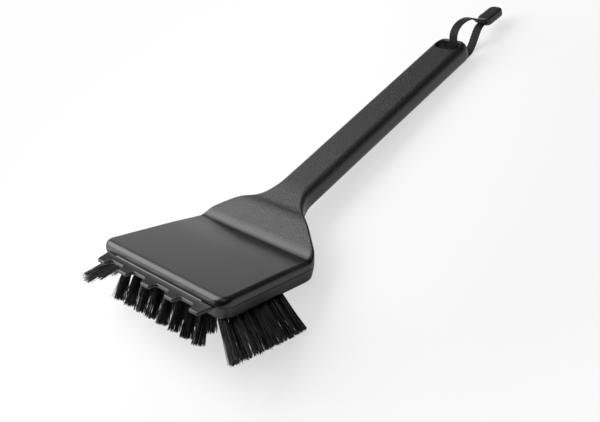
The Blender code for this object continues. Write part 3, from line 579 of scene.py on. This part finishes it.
# The bead is raised along the plate's root, and the plate then bends down from there.
for vertex in scraper.data.vertices:
    on_bead = min(1.0, max(0.0, -GAP - vertex.co.y) / BEAD_WIDTH)
    if vertex.co.z > plate_levels[1] - TOP_FACE_DEPTH:
        vertex.co.z += BEAD_HEIGHT * min(on_bead / BEAD_CREST, (1.0 - on_bead) / (1.0 - BEAD_CREST))
    if vertex.co.y < -GAP:
        vertex.co.z += (vertex.co.y + GAP) * math.tan(SCRAPER_DROOP)
scraper.data.transform(HEAD)
smoothed(scraper, angle=40)
scraper_nylon = moulded_nylon("moulded_nylon_scraper", tint=("#0D0E0F", "#141516"), gloss=(0.27, 0.27),
                              grain=0.00008, fine=True)
scraper.data.materials.clear()
scraper.data.materials.append(scraper_nylon)
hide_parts("scraper")
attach(scraper, "brush")


# Bristle tufts. Black nylon monofilament of about half a millimetre, folded into drilled holes: two rows
# that lean forward, and a fan of longer tufts down each side. Every bristle bends its own way.

BLOCK_BOTTOM_Z = -0.0185
PLUG_R = 0.0037
BRISTLE_R = 0.00026
BRISTLE_TIP_R = 0.00021
BRISTLE_SEGMENTS = 4
BRISTLES = 110
TUFT_SPREAD = 1.50
TUFT_BLOOM = 0.6
BEND_SPREAD = 0.0009
LENGTH_SPREAD = 0.0003
GOLDEN_ANGLE = 2.39996
TABLE_GAP = 0.0002
FRONT_COUNT = 8
FRONT_ROW_INSET = 0.0301
FRONT_ROW_Y = 0.0066
FRONT_LENGTH = 0.0277
FRONT_LEAN = math.radians(20)
FRONT_FAN = math.radians(6)
INNER_COUNT = 7
INNER_ROW_Y = 0.0195
INNER_LEAN = math.radians(6)
SIDE_COUNT = 7
SIDE_FIRST_Y = 0.0072
SIDE_PITCH = 0.0097
SIDE_INSET = 0.0093
SIDE_LENGTH = 0.038
SIDE_LEAN = math.radians(52.5)
SIDE_FORWARD = 0.012
FRONT_PITCH = 2 * (FRONT_HALF - FRONT_ROW_INSET) / (FRONT_COUNT - 1)


def tuft_frames():
    """Name, root and direction of each tuft, in rows under the block."""
    frames = []
    for i in range(FRONT_COUNT):
        place = i - (FRONT_COUNT - 1) / 2
        fan = FRONT_FAN * place / ((FRONT_COUNT - 1) / 2)
        root = Vector((place * FRONT_PITCH, FRONT_ROW_Y, BLOCK_BOTTOM_Z))
        frames.append((f"front_tuft_{i + 1}", root, Vector((math.tan(fan), -math.tan(FRONT_LEAN), -1.0)),
                       FRONT_LENGTH))
    for i in range(INNER_COUNT):
        place = i - (INNER_COUNT - 1) / 2
        root = Vector((place * FRONT_PITCH, INNER_ROW_Y, BLOCK_BOTTOM_Z))
        frames.append((f"inner_tuft_{i + 1}", root, Vector((0.0, -math.tan(INNER_LEAN), -1.0)),
                       FRONT_LENGTH * math.cos(FRONT_LEAN)))
    for side, name in ((-1, "left"), (1, "right")):
        for i in range(SIDE_COUNT):
            y = SIDE_FIRST_Y + i * SIDE_PITCH
            root = Vector((side * (half_width(y + SIDE_PITCH) - SIDE_INSET), y, BLOCK_BOTTOM_Z))
            forward = SIDE_FORWARD * (1.0 - i / (SIDE_COUNT - 1)) / SIDE_LENGTH
            frames.append((f"{name}_tuft_{i + 1}", root,
                           Vector((side * math.sin(SIDE_LEAN), -forward, -math.cos(SIDE_LEAN))), SIDE_LENGTH))
    return frames


chance = random.Random(7)   # the same bristles each time


def bristle_line(spot, length):
    """Middle line of one bristle in its tuft: straight at its root, then bent a little its own way."""
    lean = Vector((chance.gauss(0.0, BEND_SPREAD), chance.gauss(0.0, BEND_SPREAD), 0.0))
    end = length + chance.gauss(0.0, LENGTH_SPREAD)
    for i in range(BRISTLE_SEGMENTS + 1):
        t = i / BRISTLE_SEGMENTS
        out = spot * (1.0 + (TUFT_SPREAD - 1.0) * t ** TUFT_BLOOM) + lean * t * t
        yield Vector((out.x, out.y, end * t))


# One bristle a metre long, cut into segments. Every bristle of every tuft is a bent copy of it.
bpy.ops.object.select_all(action='DESELECT')
bpy.ops.mesh.primitive_cylinder_add(vertices=4, radius=BRISTLE_R, depth=1.0, location=(0.0, 0.0, 0.5))
bristle = bpy.context.object
bristle.name = "one_bristle"
bpy.ops.object.transform_apply(location=True, rotation=True, scale=True)
for i in range(1, BRISTLE_SEGMENTS):
    bpy.ops.object.mode_set(mode='EDIT')
    bpy.ops.mesh.select_all(action='SELECT')
    bpy.ops.mesh.bisect(plane_co=(0.0, 0.0, i / BRISTLE_SEGMENTS), plane_no=(0.0, 0.0, 1.0))
    bpy.ops.object.mode_set(mode='OBJECT')
BRISTLE_POINTS = [vertex.co.copy() for vertex in bristle.data.vertices]
BRISTLE_FACES = [tuple(face.vertices) for face in bristle.data.polygons]
bpy.data.objects.remove(bristle, do_unlink=True)


def tuft_of(name, root, way, length):
    """Bundle of bristles out of one hole, each a bent copy of the one bristle.

    A bristle that would reach the table is shortened. Its map holds its own tint and the share of its length.
    """
    way = way.normalized()
    recess = PLUG_R * math.tan(math.acos(-way.z)) + GAP
    place = HEAD @ Matrix.Translation(root) @ way.to_track_quat('Z', 'Y').to_matrix().to_4x4()
    points, faces, tints = [], [], []
    for i in range(BRISTLES):
        reach = (PLUG_R - 2 * BRISTLE_R) * math.sqrt((i + 0.5) / BRISTLES)
        angle = GOLDEN_ANGLE * i
        spot = Vector((reach * math.cos(angle), reach * math.sin(angle), 0.0))
        line = list(bristle_line(spot, length + recess))
        line = [place @ (p - Vector((0.0, 0.0, recess))) for p in line]
        if line[-1].z < TABLE_GAP:
            share = (line[0].z - TABLE_GAP) / (line[0].z - line[-1].z)
            line = [line[0] + (p - line[0]) * share for p in line]
        first, turn, tint = len(points), chance.uniform(0, math.pi), chance.random()
        for co in BRISTLE_POINTS:
            i_line = round(co.z * BRISTLE_SEGMENTS)
            before, after = line[max(0, i_line - 1)], line[min(BRISTLE_SEGMENTS, i_line + 1)]
            square = (after - before).to_track_quat('Z', 'Y') @ Matrix.Rotation(turn, 3, 'Z').to_quaternion()
            thin = 1.0 + (BRISTLE_TIP_R / BRISTLE_R - 1.0) * co.z
            points.append(line[i_line] + square @ Vector((co.x * thin, co.y * thin, 0.0)))
        faces += [tuple(first + k for k in face) for face in BRISTLE_FACES]
        tints += [tint] * len(BRISTLE_FACES)
    mesh = bpy.data.meshes.new(name)
    mesh.from_pydata(points, [], faces)
    tuft = bpy.data.objects.new(name, mesh)
    bpy.context.scene.collection.objects.link(tuft)
    layer = mesh.uv_layers.new(name="bristle")
    for face, tint in zip(mesh.polygons, tints):
        for loop in face.loop_indices:
            k = mesh.loops[loop].vertex_index % len(BRISTLE_POINTS)
            layer.data[loop].uv = (tint, BRISTLE_POINTS[k].z)
    only(tuft)
    bpy.ops.object.mode_set(mode='EDIT')
    bpy.ops.mesh.select_all(action='SELECT')
    bpy.ops.mesh.normals_make_consistent(inside=False)
    bpy.ops.object.mode_set(mode='OBJECT')
    bpy.ops.object.shade_smooth_by_angle(angle=math.radians(60))
    return tuft


def bristle_nylon():
    """Extruded nylon filament: black and half glossy, so each bristle shows a thin light line.

    Each has a tint of its own, and its cut tip is a painted highlight: a little greyer, as if it caught the
    light.
    """
    material = bpy.data.materials.new("extruded_nylon_bristle")
    material.use_nodes = True
    tree = material.node_tree
    shader = tree.nodes["Principled BSDF"]
    shader.inputs["IOR"].default_value = NYLON_IOR
    shader.inputs["Roughness"].default_value = 0.42
    split = add_node(tree, "SeparateXYZ", {0: add_node(tree, "UVMap", uv_map="bristle").outputs["UV"]})
    ramp = add_node(tree, "ValToRGB", {"Fac": split.outputs["X"]})
    ramp.color_ramp.elements[0].color = linear("#050506")
    ramp.color_ramp.elements[1].color = linear("#101112")
    # Painted highlight: the last part of each bristle is mixed towards grey, as if its tip caught the light.
    tip_glint = add_node(tree, "MapRange", {"Value": split.outputs["Y"], "From Min": 0.93, "From Max": 1.0,
                                      "To Min": 0.0, "To Max": 0.5})
    mixed = add_node(tree, "Mix", {"Factor": tip_glint.outputs[0], "A": ramp.outputs["Color"],
                                   "B": linear("#2C2D30")}, data_type='RGBA')
    tree.links.new(mixed.outputs["Result"], shader.inputs["Base Color"])
    return material


nylon_filament = bristle_nylon()
for name, root, way, length in tuft_frames():
    tuft = tuft_of(name.replace("tuft", "bristles"), root, way, length)
    tuft.data.materials.append(nylon_filament)
    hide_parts(name)
    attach(tuft, "brush")


# Block screws. Six zinc-plated steel pan-head screws in counterbores under the block, which hold it up
# against the head. The plating is bright grey and a little cloudy.

SCREW_COUNT = 6
PLATING_CLOUDS_PER_METRE = 420.0


def plated_steel():
    """Zinc-plated steel: bright and a little cloudy, so that the head glints in its deep hole."""
    material = bpy.data.materials.new("zinc_plated_steel")
    material.use_nodes = True
    tree = material.node_tree
    shader = tree.nodes["Principled BSDF"]
    shader.inputs["Metallic"].default_value = 1.0
    place = add_node(tree, "TexCoord").outputs["Object"]
    cloud = add_node(tree, "TexNoise", {"Vector": place, "Scale": PLATING_CLOUDS_PER_METRE, "Detail": 3.0})
    ramp = add_node(tree, "ValToRGB", {"Fac": cloud.outputs["Fac"]})
    ramp.color_ramp.elements[0].color = linear("#9C9EA1")
    ramp.color_ramp.elements[1].color = linear("#C4C6C9")
    tree.links.new(ramp.outputs["Color"], shader.inputs["Base Color"])
    rough = add_node(tree, "MapRange", {"Value": cloud.outputs["Fac"], "To Min": 0.22, "To Max": 0.42})
    tree.links.new(rough.outputs[0], shader.inputs["Roughness"])
    return material


steel = plated_steel()
for i in range(SCREW_COUNT):
    screw = frame["nodes"][f"block_screw_{i + 1}"]
    screw.data.materials.clear()
    screw.data.materials.append(steel)


# Hang strap. A flat woven polyester tape, doubled round the end wall of the handle through the slot,
# stiff enough to stand in a loop. Both its ends are held in the clip.

STRAP_X = 0.0070
STRAP_WIDTH = 0.0092
STRAP_THICK = 0.0012
STRAP_PLAY = 0.0005
STRAP_ARC = (148, 283)
CLIP_LENGTH = 0.026
CLIP_ALONG = 0.0500
CLIP_ABOVE = 0.0052
CLIP_PITCH = math.radians(-4)
STRAP_TAIL = 0.008
STRAP_STRAIGHT = 0.003
STRAP_FRONT = ((2.76, 1.25), (2.21, 1.73), (1.57, 2.08), (0.76, 2.27),
               (0.04, 2.19), (-0.51, 1.85), (-0.74, 1.34))
STRAP_BACK = ((0.74, -0.96), (1.34, -0.66), (2.00, -0.11), (2.62, 0.39))
STRAP_ARC_STEPS = 9
STRAP_EDGE_STEPS = 8
CORNER_CUT = 0.25
ROUNDING_PASSES = 3
END_WALL = SLOT_TO_END - SLOT_ALONG / 2


def clip_point(a, b):
    """Point in the clip: a along it from its middle, b above its middle plane."""
    cos, sin = math.cos(CLIP_PITCH), math.sin(CLIP_PITCH)
    return CLIP_ALONG + a * cos - b * sin, CLIP_ABOVE + a * sin + b * cos


def strap_route():
    """Middle line of the strap from one end in the clip, round the handle's end wall, to the other.

    The points of its two free runs are in multiples of its radius round the wall.
    """
    lift = (STRAP_THICK + GAP) / 2
    depths = (STRAP_TAIL, -CLIP_LENGTH / 2, -CLIP_LENGTH / 2 - STRAP_STRAIGHT)
    upper = [clip_point(depth, lift) for depth in depths]
    lower = [clip_point(depth, -lift) for depth in reversed(depths)]
    ring = math.hypot(END_WALL / 2, HANDLE_THICK / 2) + STRAP_PLAY + STRAP_THICK / 2
    front = [(ring * a, ring * b) for a, b in STRAP_FRONT]
    back = [(ring * a, ring * b) for a, b in STRAP_BACK]
    round_wall = list(arc((0.0, 0.0), ring, *STRAP_ARC, STRAP_ARC_STEPS))
    return upper + front + round_wall + back + lower


def rounded_line(points):
    """The line with the corners between its straight pieces cut off, pass after pass."""
    near, far = CORNER_CUT, 1.0 - CORNER_CUT
    for _ in range(ROUNDING_PASSES):
        cut_line = [points[0]]
        for (ax, ay), (bx, by) in zip(points, points[1:]):
            cut_line.append((far * ax + near * bx, far * ay + near * by))
            cut_line.append((near * ax + far * bx, near * ay + far * by))
        points = cut_line + [points[-1]]
    return points


def at_pivot(a, n, x):
    """Point by the strap's pivot: a along the handle from it, n above it, x to the right."""
    return HEAD @ Vector((x, *along(HANDLE_LENGTH - END_WALL / 2 + a, n)))


# Each ring is the tape's section at one point of its line: flat, with round edges.
strap_line = rounded_line(strap_route())
strap_rings = []
for i, spot in enumerate(strap_line):
    before, after = Vector(strap_line[max(0, i - 1)]), Vector(strap_line[min(len(strap_line) - 1, i + 1)])
    way = (after - before).normalized()
    ring = []
    for x_sign, start in ((1, -90), (-1, 90)):
        for cosine, sine in arc((0.0, 0.0), 1.0, start, start + 180, STRAP_EDGE_STEPS):
            x = x_sign * (STRAP_WIDTH - STRAP_THICK) / 2 + cosine * STRAP_THICK / 2
            n = sine * STRAP_THICK / 2
            ring.append(at_pivot(spot[0] - way.y * n, spot[1] + way.x * n, STRAP_X + x))
    strap_rings.append(ring)
strap = drawn_out("woven_strap", strap_rings)
smoothed(strap, angle=60)

# The weave is mapped in metres: across the tape, and along it by its length on the line.
finder = KDTree(sum(len(ring) for ring in strap_rings))
run = 0.0
lengths = []
for i, ring in enumerate(strap_rings):
    run += (Vector(strap_line[i]) - Vector(strap_line[max(0, i - 1)])).length
    lengths.append(run)
    for k, spot in enumerate(ring):
        finder.insert(spot, i * len(ring) + k)
finder.balance()
weave_map = strap.data.uv_layers.new(name="weave")
for loop in strap.data.loops:
    spot = strap.data.vertices[loop.vertex_index].co
    index = finder.find(spot)[1]
    weave_map.data[loop.index].uv = (spot.x - STRAP_X, lengths[index // len(strap_rings[0])])


THREADS_PER_METRE = 834
WEAVE_SLANT = math.radians(38)
WEAVE_DEPTH = 0.0002


def woven_tape():
    """Woven polyester tape: slanting ribs over lengthwise threads, matt, with a faint sheen.

    Ribs and threads are drawn 1.2 mm apart, coarser than on a real tape, so that they show. A wave
    texture of scale 1 repeats every pi / 10 metres.
    """
    material = bpy.data.materials.new("woven_polyester_tape")
    material.use_nodes = True
    tree = material.node_tree
    shader = tree.nodes["Principled BSDF"]
    shader.inputs["Roughness"].default_value = 0.62
    shader.inputs["Specular IOR Level"].default_value = 0.25
    shader.inputs["Sheen Weight"].default_value = 0.08
    shader.inputs["Sheen Roughness"].default_value = 0.4
    cloth = add_node(tree, "UVMap", uv_map="weave").outputs["UV"]
    turned = add_node(tree, "Mapping", {"Vector": cloth, "Rotation": (0.0, 0.0, WEAVE_SLANT)})
    scale = THREADS_PER_METRE * math.pi / 10
    rib = add_node(tree, "TexWave", {"Vector": turned.outputs[0], "Scale": scale, "Distortion": 0.4},
                   bands_direction='Y')
    warp = add_node(tree, "TexWave", {"Vector": cloth, "Scale": scale, "Distortion": 0.3},
                    bands_direction='X')
    both = add_node(tree, "Math", {0: rib.outputs["Fac"], 1: warp.outputs["Fac"]}, operation='MULTIPLY')
    ramp = add_node(tree, "ValToRGB", {"Fac": both.outputs[0]})
    ramp.color_ramp.elements[0].color = linear("#0A0A0B")
    ramp.color_ramp.elements[1].color = linear("#1C1D1F")
    tree.links.new(ramp.outputs["Color"], shader.inputs["Base Color"])
    bump = add_node(tree, "Bump", {"Height": both.outputs[0], "Strength": 0.8, "Distance": WEAVE_DEPTH})
    tree.links.new(bump.outputs["Normal"], shader.inputs["Normal"])
    return material


strap.data.materials.clear()
strap.data.materials.append(woven_tape())
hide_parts("hang_strap")
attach(strap, "hang_loop")


# Strap clip. Two moulded halves that snap together over the ends of the strap, with rounded ends and a
# fine parting line between them.

CLIP_BEVEL = 0.0002
clip_nylon = moulded_nylon("moulded_nylon_clip", tint=("#141516", "#1C1D1E"), gloss=(0.42, 0.42),
                           grain=0.00008, fine=True)
for node, name in (("clip_upper", "upper_clip_half"), ("clip_lower", "lower_clip_half")):
    half = softened(node, name, CLIP_BEVEL)
    half.data.materials.append(clip_nylon)
    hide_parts(node)
    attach(half, "hang_loop")


# Table. A seamless white sheet that the brush stands on, which keeps the brush's soft shadow and runs
# into the white of the background. Away from the head's shadow it glows white to glossy rays, a painted
# reflection, so the nylon mirrors it as the same white.

SHEET_R = 4.0
SHADOW_R = 0.20
WHITE_R = 0.44
SHADOW_GLOW = 0.64
HEAD_SHADOW = (0.05, -0.16, 0.0)
MIRROR_START = 0.03
MIRROR_FULL = 0.11

bpy.ops.object.select_all(action='DESELECT')
bpy.ops.mesh.primitive_circle_add(vertices=96, radius=SHEET_R, fill_type='NGON')
table = bpy.context.object
table.name = "table_sheet"
sheet = bpy.data.materials.new("matt_white_sheet")
sheet.use_nodes = True
tree = sheet.node_tree
tree.nodes.clear()
place = add_node(tree, "TexCoord").outputs["Object"]
reach = add_node(tree, "VectorMath", {0: place}, operation='LENGTH')
far = add_node(tree, "MapRange", {"Value": reach.outputs["Value"], "From Min": SHADOW_R,
                                  "From Max": WHITE_R, "To Min": SHADOW_GLOW, "To Max": 1.0},
               interpolation_type='SMOOTHSTEP')
matt = add_node(tree, "BsdfDiffuse", {"Color": linear("#F8F8F8"), "Roughness": 0.0})
glow = add_node(tree, "Emission", {"Color": linear("#FEFEFE"), "Strength": 1.0})
rays = add_node(tree, "LightPath")
seen = add_node(tree, "Math", {0: far.outputs[0], 1: rays.outputs["Is Camera Ray"]}, operation='MULTIPLY')
# Painted reflection: away from the head's shadow the sheet glows white to glossy rays, whatever light falls
# there.
from_head = add_node(tree, "VectorMath", {0: place, 1: HEAD_SHADOW}, operation='DISTANCE')
mirrored = add_node(tree, "MapRange", {"Value": from_head.outputs["Value"], "From Min": MIRROR_START,
                                       "From Max": MIRROR_FULL, "To Min": 0.0,
                                       "To Max": rays.outputs["Is Glossy Ray"]})
share = add_node(tree, "Math", {0: seen.outputs[0], 1: mirrored.outputs[0]}, operation='ADD')
blend = add_node(tree, "MixShader", {0: share.outputs[0], 1: matt.outputs[0], 2: glow.outputs[0]})
add_node(tree, "OutputMaterial", {"Surface": blend.outputs[0]})
table.data.materials.append(sheet)
